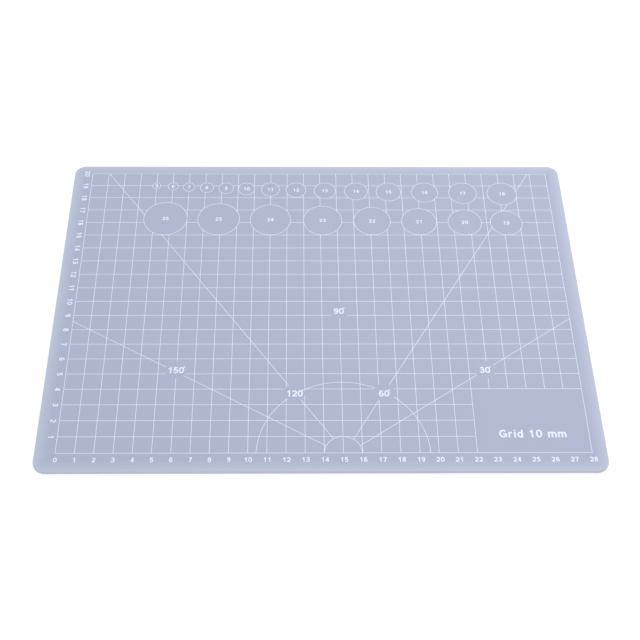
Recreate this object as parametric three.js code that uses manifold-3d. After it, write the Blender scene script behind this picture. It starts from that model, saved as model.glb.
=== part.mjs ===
// Self-healing cutting mat, small format: two soft vinyl skins bonded to a stiff core, with a
// centimetre grid, a protractor and a set of circle templates screen-printed on the top skin.
// Millimetres, +Z up. The origin is at the middle of the underside. X runs along the long side,
// and Y runs away from the edge that carries the main rule.

import * as THREE from 'three';
import { mergeVertices } from 'three/addons/utils/BufferGeometryUtils.js';
import Module from 'manifold-3d';

const wasm = await Module();
wasm.setup();

// Mat body
const MAT_LENGTH = 299;
const MAT_WIDTH = 217.5;
const CORNER_RADIUS = 6.5;
const CORNER_SEGMENTS = 6;
const SKIN_THICKNESS = 0.7;
const CORE_THICKNESS = 0.6;

// Blank strips that carry the rules, from the mat's edge to the middle of the field's first line
const LEFT_MARGIN = 11;
const RIGHT_MARGIN = 8;
const FRONT_MARGIN = 11.2;
const BACK_MARGIN = 6.3;

// Ruled field, counted in squares, with a blank title block in its front right corner
const SQUARE = 10;
const TITLE_COLUMNS = 6;
const TITLE_ROWS = 4;

// Screen-printed ink
const INK_THICKNESS = 0.05;
const LINE_WIDTH = 0.28;
const INK_GAP = 0.3; // between a circle and the grid lines that stop at it

// Circle templates: [diameter, centre as a share of the field's length]
const SMALL_CIRCLES = [
  [5, 0.143], [6, 0.179], [7, 0.214], [8, 0.253], [9, 0.295], [10, 0.34], [11, 0.392],
  [12, 0.448], [13, 0.511], [14, 0.579], [15, 0.65], [16, 0.729], [17, 0.812], [18, 0.898],
];
const LARGE_CIRCLES = [
  [26, 0.168], [25, 0.282], [24, 0.393], [23, 0.505], [22, 0.611], [21, 0.712], [20, 0.81],
  [19, 0.899],
];
const SMALL_CIRCLES_TOP = 7.6; // from the field's back line to the top of each small circle
const LARGE_CIRCLES_FOOT = 49.8; // from the field's back line to the foot of each large circle

// Protractor, struck from a point on the field's front line
const HUB_RADIUS = 9.9;
const ARC_RADIUS = 45.6;
const ARC_DROP = 1.2; // the big arc's centre is this far below the front line
const ARC_SEGMENTS = 8;

// Blanks for the angles' figures, placed from the protractor's centre
const FIGURES = [[78.7, 52.8], [22.8, 37.5], [-0.5, 93.4], [-25.5, 37.5], [-90.3, 52.8]];
const FIGURE_CLEARANCE = 5.7;

// What follows from the sizes above
const THICKNESS = 2 * SKIN_THICKNESS + CORE_THICKNESS;
const HALF_LINE = LINE_WIDTH / 2;
const FIELD_COLUMNS = Math.floor((MAT_LENGTH - LEFT_MARGIN - RIGHT_MARGIN) / SQUARE);
const FIELD_ROWS = Math.floor((MAT_WIDTH - FRONT_MARGIN - BACK_MARGIN) / SQUARE);
const FIELD_LENGTH = FIELD_COLUMNS * SQUARE;
const FIELD_WIDTH = FIELD_ROWS * SQUARE;
const PROTRACTOR_X = (Math.floor(FIELD_COLUMNS / 2) + 1) * SQUARE;

// Heights of the tools that cut the ink: a blank passes through it, and a mark that is kept
// inside a blank passes through the blank.
const BLANK_DEPTH = 3 * INK_THICKNESS;
const MARK_DEPTH = 5 * INK_THICKNESS;

const skinVinyl = new THREE.MeshStandardMaterial({ color: 0xafb7cd, roughness: 0.55, metalness: 0 });
const coreVinyl = new THREE.MeshStandardMaterial({ color: 0xc3cadb, roughness: 0.6, metalness: 0 });
const whiteInk = new THREE.MeshStandardMaterial({ color: 0xecf4ff, roughness: 0.5, metalness: 0 });

const mat = new THREE.Group();

// Print is laid out from the field's front left corner, on the top skin.
const print = new THREE.Group();
print.position.set(LEFT_MARGIN - MAT_LENGTH / 2, FRONT_MARGIN - MAT_WIDTH / 2, THICKNESS);
mat.add(print);

// Three plies, bonded face to face and cut with one die

function plyOutline() {
  const x = MAT_LENGTH / 2 - CORNER_RADIUS;
  const y = MAT_WIDTH / 2 - CORNER_RADIUS;
  const outline = new THREE.Shape();
  outline.absarc(x, y, CORNER_RADIUS, 0, Math.PI / 2);
  outline.absarc(-x, y, CORNER_RADIUS, Math.PI / 2, Math.PI);
  outline.absarc(-x, -y, CORNER_RADIUS, Math.PI, 1.5 * Math.PI);
  outline.absarc(x, -y, CORNER_RADIUS, 1.5 * Math.PI, 2 * Math.PI);
  return outline;
}

function addPly(name, bottom, thickness, vinyl) {
  const geometry = new THREE.ExtrudeGeometry(plyOutline(), {
    depth: thickness, bevelEnabled: false, curveSegments: CORNER_SEGMENTS,
  });
  const ply = new THREE.Mesh(geometry, vinyl);
  ply.name = name;
  ply.position.z = bottom;
  mat.add(ply);
}

addPly('bottom_skin', 0, SKIN_THICKNESS, skinVinyl);
addPly('stiff_core', SKIN_THICKNESS, CORE_THICKNESS, coreVinyl);
addPly('top_skin', SKIN_THICKNESS + CORE_THICKNESS, SKIN_THICKNESS, skinVinyl);

// Ink on the top skin

function solidOf(geometry) {
  const bare = geometry.clone();
  bare.deleteAttribute('normal');
  bare.deleteAttribute('uv');
  const welded = mergeVertices(bare);
  return new wasm.Manifold(new wasm.Mesh({
    numProp: 3,
    vertProperties: new Float32Array(welded.attributes.position.array),
    triVerts: new Uint32Array(welded.index.array),
  }));
}

function geometryOf(solid) {
  const { vertProperties, triVerts } = solid.getMesh();
  const welded = new THREE.BufferGeometry();
  welded.setAttribute('position', new THREE.BufferAttribute(vertProperties, 3));
  welded.setIndex(new THREE.BufferAttribute(triVerts, 1));
  const faceted = welded.toNonIndexed();
  faceted.computeVertexNormals();
  return faceted;
}

// Solids centred on the ink's mid-height

function block(left, front, right, back, depth) {
  const geometry = new THREE.BoxGeometry(right - left, back - front, depth);
  geometry.translate((left + right) / 2, (front + back) / 2, INK_THICKNESS / 2);
  return solidOf(geometry);
}

function extruded(outline, x, y, depth, segments) {
  const geometry = new THREE.ExtrudeGeometry(outline, {
    depth, bevelEnabled: false, curveSegments: segments,
  });
  geometry.translate(x, y, (INK_THICKNESS - depth) / 2);
  return solidOf(geometry);
}

function disc(radius, x, y, segments) {
  const outline = new THREE.Shape();
  outline.absarc(0, 0, radius, 0, 2 * Math.PI);
  return extruded(outline, x, y, BLANK_DEPTH, segments);
}

function halfRing(radius, x, y) {
  const outline = new THREE.Shape();
  outline.absarc(0, 0, radius + HALF_LINE, 0, Math.PI);
  outline.absarc(0, 0, radius - HALF_LINE, Math.PI, 0, true);
  return extruded(outline, x, y, MARK_DEPTH, ARC_SEGMENTS);
}

// Circle templates

const circles = [
  ...SMALL_CIRCLES.map(([diameter, share]) => ({
    diameter, x: share * FIELD_LENGTH, y: FIELD_WIDTH - SMALL_CIRCLES_TOP - diameter / 2,
  })),
  ...LARGE_CIRCLES.map(([diameter, share]) => ({
    diameter, x: share * FIELD_LENGTH, y: FIELD_WIDTH - LARGE_CIRCLES_FOOT + diameter / 2,
  })),
];

function circleSegments(diameter) {
  return 8 + Math.floor(diameter / 4);
}

for (const { diameter, x, y } of circles) {
  const outline = new THREE.Shape();
  outline.absarc(0, 0, diameter / 2 + HALF_LINE, 0, 2 * Math.PI);
  const inside = new THREE.Path();
  inside.absarc(0, 0, diameter / 2 - HALF_LINE, 0, 2 * Math.PI, true);
  outline.holes.push(inside);
  const geometry = new THREE.ExtrudeGeometry(outline, {
    depth: INK_THICKNESS, bevelEnabled: false, curveSegments: circleSegments(diameter),
  });
  const circle = new THREE.Mesh(geometry, whiteInk);
  circle.name = `circle_template_${String(diameter).padStart(2, '0')}mm`;
  circle.position.set(x, y, 0);
  print.add(circle);
}

// Grid lines, with the protractor's two arcs, as one network of ink

// The squares that the grid lines enclose, with the title block as one large square
function squares() {
  let open = block(
    FIELD_LENGTH - TITLE_COLUMNS * SQUARE + HALF_LINE, HALF_LINE,
    FIELD_LENGTH - HALF_LINE, TITLE_ROWS * SQUARE - HALF_LINE, BLANK_DEPTH,
  );
  for (let column = 0; column < FIELD_COLUMNS; column++) {
    for (let row = 0; row < FIELD_ROWS; row++) {
      const left = column * SQUARE + HALF_LINE;
      const front = row * SQUARE + HALF_LINE;
      const side = SQUARE - LINE_WIDTH;
      open = open.add(block(left, front, left + side, front + side, BLANK_DEPTH));
    }
  }
  return open;
}

// Inside the hub only the upright line is printed.
function hubBlank() {
  const back = HUB_RADIUS;
  const inside = disc(HUB_RADIUS - HALF_LINE, PROTRACTOR_X, 0, ARC_SEGMENTS);
  const field = block(HALF_LINE, HALF_LINE, FIELD_LENGTH - HALF_LINE, back, BLANK_DEPTH);
  const upright = block(PROTRACTOR_X - HALF_LINE, 0, PROTRACTOR_X + HALF_LINE, back, MARK_DEPTH);
  return inside.intersect(field).subtract(upright);
}

function gridGeometry() {
  let open = squares().subtract(halfRing(ARC_RADIUS, PROTRACTOR_X, -ARC_DROP));
  open = open.add(hubBlank()).subtract(halfRing(HUB_RADIUS, PROTRACTOR_X, 0));
  for (const { diameter, x, y } of circles) {
    const radius = diameter / 2 + HALF_LINE + INK_GAP;
    open = open.add(disc(radius, x, y, circleSegments(diameter)));
  }
  for (const [x, y] of FIGURES) {
    open = open.add(disc(FIGURE_CLEARANCE, PROTRACTOR_X + x, y, ARC_SEGMENTS));
  }
  const sheet = block(
    -HALF_LINE, -HALF_LINE, FIELD_LENGTH + HALF_LINE, FIELD_WIDTH + HALF_LINE, INK_THICKNESS,
  );
  // A few short dashes between neighbouring circles touch nothing else, and are left off.
  const pieces = sheet.subtract(open).decompose();
  pieces.sort((a, b) => b.volume() - a.volume());
  return geometryOf(pieces[0]);
}

const gridLines = new THREE.Mesh(gridGeometry(), whiteInk);
gridLines.name = 'grid_lines';
print.add(gridLines);

export default mat;
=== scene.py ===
"""Self-healing cutting mat: a frosted vinyl laminate with a centimetre grid, a protractor, circle
templates and figures screen-printed on its top skin."""

import math

import bmesh
import bpy
from mathutils import Matrix, Vector


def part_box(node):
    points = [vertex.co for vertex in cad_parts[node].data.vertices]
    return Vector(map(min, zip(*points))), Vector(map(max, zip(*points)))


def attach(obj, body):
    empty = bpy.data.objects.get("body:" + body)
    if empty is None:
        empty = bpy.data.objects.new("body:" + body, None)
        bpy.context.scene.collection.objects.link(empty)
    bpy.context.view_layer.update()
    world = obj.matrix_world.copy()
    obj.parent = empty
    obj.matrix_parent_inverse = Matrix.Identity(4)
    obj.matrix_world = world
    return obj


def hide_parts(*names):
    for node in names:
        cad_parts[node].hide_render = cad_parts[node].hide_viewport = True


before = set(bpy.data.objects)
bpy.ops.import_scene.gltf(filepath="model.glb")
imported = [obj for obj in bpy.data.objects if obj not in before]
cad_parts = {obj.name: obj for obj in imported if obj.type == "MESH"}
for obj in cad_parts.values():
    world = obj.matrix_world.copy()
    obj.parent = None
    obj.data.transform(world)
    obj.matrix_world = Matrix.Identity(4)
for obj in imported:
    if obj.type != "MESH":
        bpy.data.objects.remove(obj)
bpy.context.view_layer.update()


# The laminate: two soft vinyl skins hot-bonded to a stiff vinyl core, punched out of the sheet
# with one steel-rule die. The die leaves a softly rolled rim on the outside faces and a hairline
# between the plies. The vinyl is tinted, frosted and embossed with a fine matt grain. A paler band
# along the outline is painted light: it stands in for the glow of light that comes in through the
# translucent edges.

MM = 0.001
CORNER_RADIUS = 6.5
RIM_ROLL = 0.22
PLY_HAIRLINE = 0.04
CORNER_STEPS = 32
ROLL_STEPS = 4
SAME_LEVEL = 0.01


def settle(bm, name, finish):
    """Writes a mesh that was modelled in millimetres to a named piece of the object."""
    bmesh.ops.transform(bm, matrix=Matrix.Scale(MM, 4), verts=bm.verts)
    bmesh.ops.recalc_face_normals(bm, faces=bm.faces)
    mesh = bpy.data.meshes.new(name)
    bm.to_mesh(mesh)
    bm.free()
    piece = bpy.data.objects.new(name, mesh)
    bpy.context.scene.collection.objects.link(piece)
    piece.data.materials.append(finish)
    return piece


def raise_sheet(bm, height):
    """Turns the flat faces of a mesh into a solid of that height."""
    flat = bm.faces[:]
    raised = bmesh.ops.extrude_face_region(bm, geom=flat, use_keep_orig=True)["geom"]
    corners = [part for part in raised if isinstance(part, bmesh.types.BMVert)]
    bmesh.ops.translate(bm, vec=(0, 0, height), verts=corners)


class Shade:
    """A number or colour that changes over a surface, which can be used in sums."""

    def __init__(self, finish, socket):
        self.finish = finish
        self.socket = socket

    def output(self, name):
        return Shade(self.finish, self.socket.node.outputs[name])

    def sum(self, operation, *values):
        inputs = dict(enumerate(values))
        return self.finish.node("ShaderNodeMath", {"operation": operation}, inputs)

    def __add__(self, other):
        return self.sum("ADD", self, other)

    def __sub__(self, other):
        return self.sum("SUBTRACT", self, other)

    def __rsub__(self, other):
        return self.sum("SUBTRACT", other, self)

    def __mul__(self, other):
        return self.sum("MULTIPLY", self, other)

    def __abs__(self):
        return self.sum("ABSOLUTE", self)

    def __pow__(self, power):
        return self.sum("POWER", self, power)

    def least(self, other):
        return self.sum("MINIMUM", self, other)

    def most(self, other):
        return self.sum("MAXIMUM", self, other)

    __radd__ = __add__
    __rmul__ = __mul__


class Finish:
    """A material whose nodes are added one at a time."""

    def __init__(self, name):
        self.material = bpy.data.materials.new(name)
        self.material.use_nodes = True
        self.tree = self.material.node_tree
        self.surface = self.tree.nodes["Principled BSDF"]

    def node(self, kind, settings=None, inputs=None, output=0):
        made = self.tree.nodes.new(kind)
        for setting, value in (settings or {}).items():
            setattr(made, setting, value)
        for socket, value in (inputs or {}).items():
            self.feed(made.inputs[socket], value)
        return Shade(self, made.outputs[output])

    def feed(self, socket, value):
        if isinstance(value, Shade):
            self.tree.links.new(value.socket, socket)
        else:
            socket.default_value = value

    def coat(self, **values):
        for socket, value in values.items():
            self.feed(self.surface.inputs[socket.replace("_", " ").title()], value)


def millimetres(finish):
    """A point of the object, in millimetres from the middle of the underside."""
    place = finish.node("ShaderNodeTexCoord", output="Object")
    scaled = {"operation": "SCALE"}
    return finish.node("ShaderNodeVectorMath", scaled, {0: place, "Scale": 1 / MM})


def speckle(finish, place, size, detail=2.0):
    """Uneven noise with patches of that size in millimetres, from 0 to 1."""
    inputs = {"Vector": place, "Scale": 1 / size, "Detail": detail}
    return finish.node("ShaderNodeTexNoise", {}, inputs)


def rim_depth(finish, place):
    """How far inside the mat's rounded outline a point lies, in millimetres."""
    low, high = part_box("top_skin")
    straight = (high - low) / 2 / MM - Vector((CORNER_RADIUS, CORNER_RADIUS, 0))
    axes = finish.node("ShaderNodeSeparateXYZ", {}, {"Vector": place})
    along = abs(axes.output("X")) - straight.x
    across = abs(axes.output("Y")) - straight.y
    outside = (along.most(0) ** 2 + across.most(0) ** 2) ** 0.5
    inside = along.most(across).least(0)
    return CORNER_RADIUS - outside - inside


def frosted_vinyl(name, tint, painted_glow_tint, painted_glow_width):
    vinyl = Finish(name)
    place = millimetres(vinyl)
    # Near the outline the colour blends to a paler tint: painted glow, standing in for light that
    # comes in through the translucent edge.
    painted_glow_fade = {"Value": rim_depth(vinyl, place), "From Max": painted_glow_width, "To Min": 1.0, "To Max": 0.0}
    rim = vinyl.node("ShaderNodeMapRange", {"interpolation_type": "LINEAR"}, painted_glow_fade)
    clouds = speckle(vinyl, place, 38.0, 3.0)
    grain = speckle(vinyl, place, 0.32)
    body = vinyl.node(
        "ShaderNodeMix", {"data_type": "RGBA"}, {"Factor": rim, 6: tint, 7: painted_glow_tint}, output=2
    )
    milky = vinyl.node(
        "ShaderNodeHueSaturation", {}, {"Color": body, "Value": 0.985 + 0.03 * clouds}
    )
    bump = vinyl.node(
        "ShaderNodeBump", {}, {"Height": grain, "Strength": 0.22, "Distance": 0.02 * MM}
    )
    vinyl.coat(
        base_color=milky,
        roughness=0.46 + 0.12 * grain,
        normal=bump,
    )
    return vinyl.material


def ply(node, finish, low_edge, high_edge):
    """One layer of the laminate, with the edge of each face broken by that much."""
    low, high = (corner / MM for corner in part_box(node))
    size = high - low
    bm = bmesh.new()
    bmesh.ops.create_grid(bm, x_segments=1, y_segments=1, size=0.5)
    bmesh.ops.scale(bm, vec=(size.x, size.y, 1), verts=bm.verts)
    bmesh.ops.bevel(
        bm, geom=bm.verts[:], offset=CORNER_RADIUS, offset_type="OFFSET", affect="VERTICES",
        segments=CORNER_STEPS, profile=0.5, material=-1,
    )
    raise_sheet(bm, size.z)
    for level, roll in ((0, low_edge), (size.z, high_edge)):
        rim = [
            edge for edge in bm.edges
            if all(abs(corner.co.z - level) < SAME_LEVEL for corner in edge.verts)
        ]
        bmesh.ops.bevel(
            bm, geom=rim, offset=roll, offset_type="OFFSET", affect="EDGES",
            segments=ROLL_STEPS, profile=0.5, material=-1,
        )
    bmesh.ops.translate(bm, vec=(0, 0, low.z), verts=bm.verts)
    piece = settle(bm, node + "_vinyl", finish)
    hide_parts(node)
    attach(piece, "root")
    return piece


# Width in millimetres of the painted edge glow. The second colour of each vinyl is that paler,
# painted glow, standing in for light shining in through the translucent edges.
PAINTED_GLOW_WIDTH = 6.8
soft_vinyl = frosted_vinyl(
    "soft_vinyl", (0.366, 0.404, 0.552, 1), (0.454, 0.497, 0.628, 1), PAINTED_GLOW_WIDTH
)
stiff_vinyl = frosted_vinyl(
    "stiff_vinyl", (0.40, 0.44, 0.57, 1), (0.48, 0.52, 0.62, 1), PAINTED_GLOW_WIDTH
)

ply("bottom_skin", soft_vinyl, RIM_ROLL, PLY_HAIRLINE)
ply("stiff_core", stiff_vinyl, PLY_HAIRLINE, PLY_HAIRLINE)
ply("top_skin", soft_vinyl, PLY_HAIRLINE, RIM_ROLL)


# The grid: one pass of white ink through a silk screen, with a line every centimetre, which stops
# at the circles and short of each angle's figure. The title block is left blank. The protractor's
# two arcs and four rays are part of the same stencil.

LINE_WIDTH = 0.28
HALF_LINE = LINE_WIDTH / 2
SQUARE = 10.0
TITLE_COLUMNS = 6
TITLE_ROWS = 4
FIGURE_CLEARANCE = 5.7

# The protractor: the big arc's centre lies a little below the front line. Each ray starts on the
# hub at the first angle and runs at the second, in degrees from due right.
ARC_RADIUS = 45.6
ARC_DROP = 1.2
ARC_STEPS = 160
HUB_RADIUS = 9.9
RAYS = ((26.0, 34.5), (56.5, 59.4), (120.0, 125.1), (154.0, 150.0))

ink_low, ink_high = (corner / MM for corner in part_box("grid_lines"))
INK = ink_high.z - ink_low.z
field = Vector((ink_low.x + HALF_LINE, ink_low.y + HALF_LINE, ink_low.z))
COLUMNS = round((ink_high.x - ink_low.x - LINE_WIDTH) / SQUARE)
ROWS = round((ink_high.y - ink_low.y - LINE_WIDTH) / SQUARE)
FIELD_LENGTH = COLUMNS * SQUARE
FIELD_WIDTH = ROWS * SQUARE
HUB = Vector(((COLUMNS // 2 + 1) * SQUARE, 0.0, 0.0))


def screen_ink(name, tone):
    ink = Finish(name)
    place = millimetres(ink)
    cover = speckle(ink, place, 0.5)
    bump = ink.node(
        "ShaderNodeBump", {}, {"Height": cover, "Strength": 0.15, "Distance": 0.01 * MM}
    )
    shade = ink.node("ShaderNodeHueSaturation", {}, {"Color": tone, "Value": 0.97 + 0.06 * cover})
    ink.coat(base_color=shade, roughness=0.38 + 0.1 * cover, normal=bump)
    return ink.material


white_ink = screen_ink("white_ink", (0.735, 0.795, 0.905, 1))


def block(bm, left, front, right, back, depth):
    """A block of ink or of screen, centred on the ink's mid-height."""
    made = bmesh.ops.create_cube(bm, size=1)["verts"]
    bmesh.ops.scale(bm, vec=(right - left, back - front, depth), verts=made)
    bmesh.ops.translate(bm, vec=((left + right) / 2, (front + back) / 2, INK / 2), verts=made)
    return made


def disc(bm, radius, centre, depth, steps=ARC_STEPS):
    made = bmesh.ops.create_cone(
        bm, cap_ends=True, segments=steps, radius1=radius, radius2=radius, depth=depth
    )["verts"]
    bmesh.ops.translate(bm, vec=(centre[0], centre[1], INK / 2), verts=made)
    return made


def hoop(bm, radius, centre, low, high, turn, steps):
    """A ring of ink, or an arc of one from due right to that turn in degrees."""
    section = [
        bm.verts.new((centre[0] + radius + side * HALF_LINE, centre[1], level))
        for side, level in ((-1, low), (1, low), (1, high), (-1, high))
    ]
    outline = [bm.edges.new(pair) for pair in zip(section, section[1:] + section[:1])]
    bmesh.ops.spin(
        bm, geom=section + outline, cent=(centre[0], centre[1], 0), axis=(0, 0, 1),
        angle=math.radians(turn), steps=steps, use_merge=turn == 360,
    )
    ends = [edge for edge in bm.edges if edge.is_boundary]
    bmesh.ops.holes_fill(bm, edges=ends, sides=4)


def circle_steps(diameter):
    return 64 + 4 * diameter


def stencil(fill):
    """A piece of the screen, filled by a function, for cutting with."""
    bm = bmesh.new()
    fill(bm)
    bmesh.ops.recalc_face_normals(bm, faces=bm.faces)
    mesh = bpy.data.meshes.new("stencil")
    bm.to_mesh(mesh)
    bm.free()
    piece = bpy.data.objects.new("stencil", mesh)
    bpy.context.scene.collection.objects.link(piece)
    return piece


def cut(piece, cutter, operation="DIFFERENCE"):
    """Cuts one piece with another, or joins them, and throws the cutter away."""
    knife = piece.modifiers.new("cut", "BOOLEAN")
    knife.operation = operation
    knife.solver = "EXACT"
    knife.object = cutter
    state = bpy.context.evaluated_depsgraph_get()
    result = bpy.data.meshes.new_from_object(piece.evaluated_get(state))
    piece.modifiers.clear()
    piece.data = result
    bpy.data.objects.remove(cutter)


SMALLEST_CIRCLE = 5
LARGEST_CIRCLE = 26

circle_centres = {}
for diameter in range(SMALLEST_CIRCLE, LARGEST_CIRCLE + 1):
    node = f"circle_template_{diameter:02d}mm"
    low, high = (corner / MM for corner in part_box(node))
    circle_centres[diameter] = (low + high) / 2 - field

# Where each angle's figure stands, from the field's front left corner
angle_figures = {
    30: (228.7, 52.8), 60: (172.8, 37.5), 90: (149.5, 93.4), 120: (124.5, 37.5),
    150: (59.7, 52.8),
}

# Heights of the tools that cut the ink. Each stands taller than what it cuts, so that no two
# faces lie in one plane.
WINDOW_DEPTH = 3 * INK
MARK_DEPTH = 5 * INK
ROUND_DEPTH = 7 * INK
HUB_DEPTH = 9 * INK


def squares(bm):
    for column in range(COLUMNS):
        for row in range(ROWS):
            left = column * SQUARE + HALF_LINE
            front = row * SQUARE + HALF_LINE
            in_title = column >= COLUMNS - TITLE_COLUMNS and row < TITLE_ROWS
            if not in_title:
                side = SQUARE - LINE_WIDTH
                block(bm, left, front, left + side, front + side, WINDOW_DEPTH)
    block(
        bm, FIELD_LENGTH - TITLE_COLUMNS * SQUARE + HALF_LINE, HALF_LINE,
        FIELD_LENGTH - HALF_LINE, TITLE_ROWS * SQUARE - HALF_LINE, WINDOW_DEPTH,
    )


def rays(bm):
    for foot, slope in RAYS:
        start = HUB + HUB_RADIUS * Vector((
            math.cos(math.radians(foot)), math.sin(math.radians(foot)), 0
        ))
        made = block(bm, 0, -HALF_LINE, FIELD_LENGTH, HALF_LINE, MARK_DEPTH)
        turn = Matrix.Rotation(math.radians(slope), 4, "Z")
        bmesh.ops.transform(bm, matrix=Matrix.Translation(start) @ turn, verts=made)


def arcs(bm):
    low, high = (INK - MARK_DEPTH) / 2, (INK + MARK_DEPTH) / 2
    hoop(bm, ARC_RADIUS, HUB - Vector((0, ARC_DROP, 0)), low, high, 180, ARC_STEPS)
    hoop(bm, HUB_RADIUS, HUB, low, high, 180, ARC_STEPS // 2)


def hub_sides(bm):
    """Left and right of the upright line, which runs down to the hub's centre."""
    reach = 2 * HUB_RADIUS
    block(bm, HUB.x - reach, HALF_LINE, HUB.x - HALF_LINE, reach, ROUND_DEPTH)
    block(bm, HUB.x + HALF_LINE, HALF_LINE, HUB.x + reach, reach, ROUND_DEPTH)


def rounds(bm):
    for diameter, centre in circle_centres.items():
        disc(bm, diameter / 2 + HALF_LINE, centre, ROUND_DEPTH, circle_steps(diameter))
    for centre in angle_figures.values():
        disc(bm, FIGURE_CLEARANCE, centre, ROUND_DEPTH)


windows = stencil(squares)
cut(windows, stencil(rays))
cut(windows, stencil(arcs))
hub_inside = stencil(lambda bm: disc(bm, HUB_RADIUS - HALF_LINE, HUB, HUB_DEPTH))
cut(hub_inside, stencil(hub_sides), "INTERSECT")

grid_ink = stencil(lambda bm: block(
    bm, -HALF_LINE, -HALF_LINE, FIELD_LENGTH + HALF_LINE, FIELD_WIDTH + HALF_LINE, INK
))
cut(grid_ink, windows)
cut(grid_ink, hub_inside)
cut(grid_ink, stencil(rounds))

WELD = HALF_LINE / 100


def lay_on_mat(piece, name, finish):
    """Puts a mesh that was drawn from the field's front left corner onto the top skin."""
    bm = bmesh.new()
    bm.from_mesh(piece.data)
    bpy.data.objects.remove(piece)
    bmesh.ops.remove_doubles(bm, verts=bm.verts, dist=WELD)
    slivers = [edge for edge in bm.edges if edge.is_wire]
    bmesh.ops.delete(bm, geom=slivers, context="EDGES")
    bmesh.ops.translate(bm, vec=field, verts=bm.verts)
    return settle(bm, name, finish)


grid_ink = lay_on_mat(grid_ink, "grid_ink", white_ink)
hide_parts("grid_lines")
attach(grid_ink, "root")


# Circle templates: hoops of the same white ink, one for each diameter in whole millimetres, for
# tracing round or for sizing a hole. The grid lines run up to their outer edge.

for diameter, centre in circle_centres.items():
    circle = stencil(lambda bm: hoop(
        bm, diameter / 2, centre, 0, INK, 360, circle_steps(diameter)
    ))
    node = f"circle_template_{diameter:02d}mm"
    circle = lay_on_mat(circle, f"circle_ink_{diameter:02d}mm", white_ink)
    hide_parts(node)
    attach(circle, "root")


# Figures: plain bold numerals and a few letters in the same ink, drawn with a broad pen of one
# width. The long rule counts centimetres along the front, the short one reads down the left side,
# and the title block says what one square measures.

# In shares of the height of a capital
PEN = 0.19
GAP_BETWEEN = 0.1
LOOP_GAP = 0.22
WORD_SPACE = 0.36
POINTS_IN_LOOP = 8
BOW_STEP = 9


def bow(x, y, reach_x, reach_y, start, end):
    """Points along an oval arc between two angles in degrees."""
    steps = max(3, round(abs(end - start) / BOW_STEP))
    turns = (math.radians(start + (end - start) * step / steps) for step in range(steps + 1))
    return [(x + reach_x * math.cos(turn), y + reach_y * math.sin(turn)) for turn in turns]


def ring(x, y, reach_x, reach_y):
    return bow(x, y, reach_x, reach_y, 0, 360)[:-1]


def half_turn(strokes, width):
    return [[(width - x, 1 - y) for x, y in stroke] for stroke in strokes]


SIX = [
    ring(0.34, 0.32, 0.225, 0.225),
    bow(0.37, 0.50, 0.255, 0.405, 48, 205),
]

# Each character: its width, and its strokes as points in shares of the height of a capital.
# A long stroke whose ends are less than LOOP_GAP apart is a closed loop.
CHARACTERS = {
    "0": (0.68, [bow(0.34, 0.60, 0.245, 0.305, 0, 180) + bow(0.34, 0.40, 0.245, 0.305, 180, 360)]),
    "1": (0.68, [[(0.40, 0.0), (0.40, 1.0)], [(0.13, 0.70), (0.42, 0.86)]]),
    "2": (0.68, [
        bow(0.335, 0.665, 0.235, 0.24, 172, -32) + [(0.12, 0.12)],
        [(0.04, 0.095), (0.65, 0.095)],
    ]),
    "3": (0.68, [
        bow(0.32, 0.705, 0.205, 0.20, 165, -96),
        bow(0.32, 0.315, 0.25, 0.22, 110, -165),
    ]),
    "4": (0.68, [
        [(0.47, 0.0), (0.47, 1.0)], [(0.03, 0.28), (0.67, 0.28)], [(0.45, 0.93), (0.11, 0.29)],
    ]),
    "5": (0.68, [
        [(0.60, 0.905), (0.11, 0.905)], [(0.21, 0.95), (0.13, 0.44)],
        bow(0.33, 0.335, 0.25, 0.24, 130, -160),
    ]),
    "6": (0.68, SIX),
    "7": (0.68, [[(0.04, 0.905), (0.65, 0.905)], [(0.56, 0.88), (0.37, 0.42), (0.27, 0.0)]]),
    "8": (0.68, [ring(0.34, 0.715, 0.195, 0.19), ring(0.34, 0.31, 0.24, 0.215)]),
    "9": (0.68, half_turn(SIX, 0.68)),
    "G": (0.88, [
        bow(0.45, 0.50, 0.35, 0.405, 42, 335),
        [(0.44, 0.44), (0.86, 0.44)], [(0.77, 0.50), (0.77, 0.06)],
    ]),
    "r": (0.50, [[(0.10, 0.0), (0.10, 0.73)], bow(0.40, 0.36, 0.30, 0.28, 172, 84)]),
    "i": (0.20, [[(0.10, 0.0), (0.10, 0.73)], [(0.10, 0.83), (0.10, 1.0)]]),
    "d": (0.66, [[(0.56, 0.0), (0.56, 1.0)], ring(0.34, 0.365, 0.215, 0.275)]),
    "m": (0.96, [
        [(0.10, 0.0), (0.10, 0.73)],
        bow(0.29, 0.44, 0.19, 0.20, 168, 0) + [(0.48, 0.0)],
        bow(0.67, 0.44, 0.19, 0.20, 168, 0) + [(0.86, 0.0)],
    ]),
}


def pen_stroke(points, pen):
    """A bar of that width along the points, one unit high."""
    bm = bmesh.new()
    corners = [bm.verts.new((x, y, 0)) for x, y in points]
    closed = len(points) > POINTS_IN_LOOP and math.dist(points[0], points[-1]) < LOOP_GAP
    following = corners[1:] + corners[:1] if closed else corners[1:]
    path = [bm.edges.new(pair) for pair in zip(corners, following)]
    walls = bmesh.ops.extrude_edge_only(bm, edges=path)["geom"]
    top = [part for part in walls if isinstance(part, bmesh.types.BMVert)]
    bmesh.ops.translate(bm, vec=(0, 0, 1), verts=top)
    mesh = bpy.data.meshes.new("stroke")
    bm.to_mesh(mesh)
    bm.free()
    stroke = bpy.data.objects.new("stroke", mesh)
    bpy.context.scene.collection.objects.link(stroke)
    width = stroke.modifiers.new("pen", "SOLIDIFY")
    width.thickness = pen
    width.offset = 0
    width.use_even_offset = True
    state = bpy.context.evaluated_depsgraph_get()
    stroke.data = bpy.data.meshes.new_from_object(stroke.evaluated_get(state))
    stroke.modifiers.clear()
    return stroke


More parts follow.
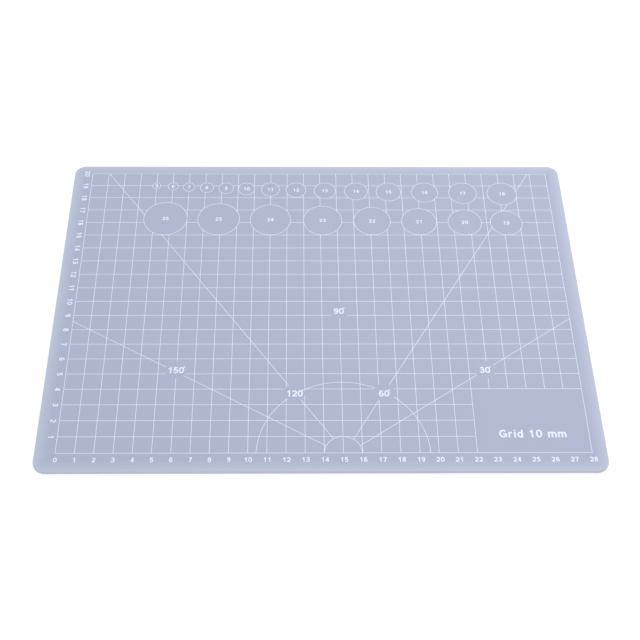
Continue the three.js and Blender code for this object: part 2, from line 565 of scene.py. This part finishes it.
def character(strokes):
    """The strokes of one character, joined into one shape."""
    first, *others = (pen_stroke(points, PEN) for points in strokes)
    for other in others:
        cut(first, other, "UNION")
    mesh = first.data
    bpy.data.objects.remove(first)
    return mesh


letters = {key: (width, character(strokes)) for key, (width, strokes) in CHARACTERS.items()}


def character_width(key):
    return WORD_SPACE if key == " " else letters[key][0]


def line_width(text, gap=GAP_BETWEEN):
    return sum(character_width(key) for key in text) + gap * (len(text) - 1)


def write(bm, text, centre, height, turn=0, gap=GAP_BETWEEN):
    """Sets a line of text round its centre, turned by that many degrees."""
    x = -line_width(text, gap) / 2
    for key in text:
        if key != " ":
            start = len(bm.verts)
            bm.from_mesh(letters[key][1])
            bm.verts.ensure_lookup_table()
            place = (
                Matrix.Translation((centre[0], centre[1], 0))
                @ Matrix.Rotation(math.radians(turn), 4, "Z")
                @ Matrix.Diagonal((height, height, INK, 1))
                @ Matrix.Translation((x, -0.5, 0))
            )
            bmesh.ops.transform(bm, matrix=place, verts=bm.verts[start:])
        x += character_width(key) + gap


# Heights of the figures and their places, in millimetres
FRONT_FIGURES = 2.9
FRONT_FIGURES_Y = -4.0
FRONT_FIGURES_RIGHT = 0.35
SIDE_FIGURES = 3.1
SIDE_FIGURES_X = -3.3
SIDE_FIGURES_UP = -0.05
LAST_SMALL_CIRCLE = 18
SMALL_CIRCLE_FIGURES = 2.6
LARGE_CIRCLE_FIGURES = 2.7
ANGLE_FIGURES = 4.1
ANGLE_FIGURES_DOWN = 0.35
ANGLE_GAP = 0.06  # a share of the height
DEGREE_MARK = 0.42
DEGREE_MARK_HEIGHT = 0.4  # a share of the height
DEGREE_MARK_STEPS = 24
TITLE_FIGURES = 4.8
TITLE_RIGHT = 0.2
TITLE_Y = 11.6
TITLE_GAP = 0.13  # a share of the height


def front_rule(bm):
    for column in range(COLUMNS + 1):
        x = column * SQUARE + FRONT_FIGURES_RIGHT
        write(bm, str(column), (x, FRONT_FIGURES_Y), FRONT_FIGURES)


def side_rule(bm):
    for row in range(1, ROWS + 1):
        y = row * SQUARE + SIDE_FIGURES_UP
        write(bm, str(row), (SIDE_FIGURES_X, y), SIDE_FIGURES, turn=-90)


def circle_sizes(bm):
    for diameter, centre in circle_centres.items():
        small = diameter <= LAST_SMALL_CIRCLE
        height = SMALL_CIRCLE_FIGURES if small else LARGE_CIRCLE_FIGURES
        write(bm, str(diameter), centre, height)


def angle_sizes(bm):
    for angle, (x, y) in angle_figures.items():
        text = str(angle)
        middle = y - ANGLE_FIGURES_DOWN
        write(bm, text, (x, middle), ANGLE_FIGURES, gap=ANGLE_GAP)
        right = x + line_width(text, ANGLE_GAP) / 2 * ANGLE_FIGURES
        mark = (right, middle + DEGREE_MARK_HEIGHT * ANGLE_FIGURES + DEGREE_MARK, 0)
        hoop(bm, DEGREE_MARK, mark, 0, INK, 360, DEGREE_MARK_STEPS)


def title(bm):
    centre = (FIELD_LENGTH - TITLE_COLUMNS * SQUARE / 2 + TITLE_RIGHT, TITLE_Y)
    write(bm, "Grid 10 mm", centre, TITLE_FIGURES, gap=TITLE_GAP)


for name, fill in (
    ("front_rule_figures", front_rule), ("side_rule_figures", side_rule),
    ("circle_figures", circle_sizes), ("angle_figures", angle_sizes), ("title_figures", title),
):
    figures = lay_on_mat(stencil(fill), name, white_ink)
    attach(figures, "root")


# The table: a plain matt white board that gives off a soft light of its own, so that the mat
# casts hardly any shadow. It isn't part of the mat.

TABLE_HALF = 20000
TABLE_GAP = 0.05

board = Finish("white_board")
board_place = millimetres(board)
board.coat(
    base_color=board.node(
        "ShaderNodeHueSaturation", {},
        {"Color": (0.2, 0.2, 0.2, 1), "Value": 0.99 + 0.02 * speckle(board, board_place, 60.0)},
    ),
    roughness=0.7 + 0.05 * speckle(board, board_place, 4.0),
    emission_color=(1, 1, 1, 1),
    emission_strength=0.8,
)
bm = bmesh.new()
bmesh.ops.create_grid(bm, x_segments=1, y_segments=1, size=TABLE_HALF)
bmesh.ops.translate(bm, vec=(0, 0, -TABLE_GAP), verts=bm.verts)
table = settle(bm, "table", board.material)


# Light: an even white studio dome, with one large soft panel above the table's back right that
# makes that side of the mat slightly brighter.

studio = bpy.context.scene
studio.view_settings.view_transform = "Standard"
dome = bpy.data.worlds.new("studio_dome")
dome.use_nodes = True
dome.node_tree.nodes["Background"].inputs["Color"].default_value = (1, 1, 1, 1)
dome.node_tree.nodes["Background"].inputs["Strength"].default_value = 0.86
studio.world = dome

panel = bpy.data.lights.new("soft_panel", "AREA")
panel.shape = "DISK"
panel.size = 1.2
panel.energy = 6.4
panel_place = Vector((0.42, 0.65, 1.1))
lamp = bpy.data.objects.new("soft_panel", panel)
lamp.matrix_world = (
    Matrix.Translation(panel_place) @ panel_place.to_track_quat("Z", "Y").to_matrix().to_4x4()
)
studio.collection.objects.link(lamp)


# Camera: a long lens, where someone standing in front of the table would look down at the mat.
# Lengths are in millimetres, and the aim is the point that the camera is turned to.

LENS = 68.774
SENSOR = 36.0
BEARING = math.radians(-1.129)
HEIGHT_ANGLE = math.radians(52.974)
LEAN = math.radians(0.875)
DISTANCE = 689.29
AIM = Vector((-5.76, -10.67, 2.05))
SHIFT = (0.01696, -0.00034)

back = Vector((
    math.sin(BEARING) * math.cos(HEIGHT_ANGLE), -math.cos(BEARING) * math.cos(HEIGHT_ANGLE),
    math.sin(HEIGHT_ANGLE),
))
lens = bpy.data.cameras.new("camera")
lens.sensor_width = SENSOR
lens.lens = LENS
lens.shift_x, lens.shift_y = SHIFT
camera = bpy.data.objects.new("camera", lens)
level = back.to_track_quat("Z", "Y").to_matrix().to_4x4()
camera.matrix_world = (
    Matrix.Translation((AIM + DISTANCE * back) * MM) @ level @ Matrix.Rotation(LEAN, 4, "Z")
)
studio.collection.objects.link(camera)
studio.camera = camera
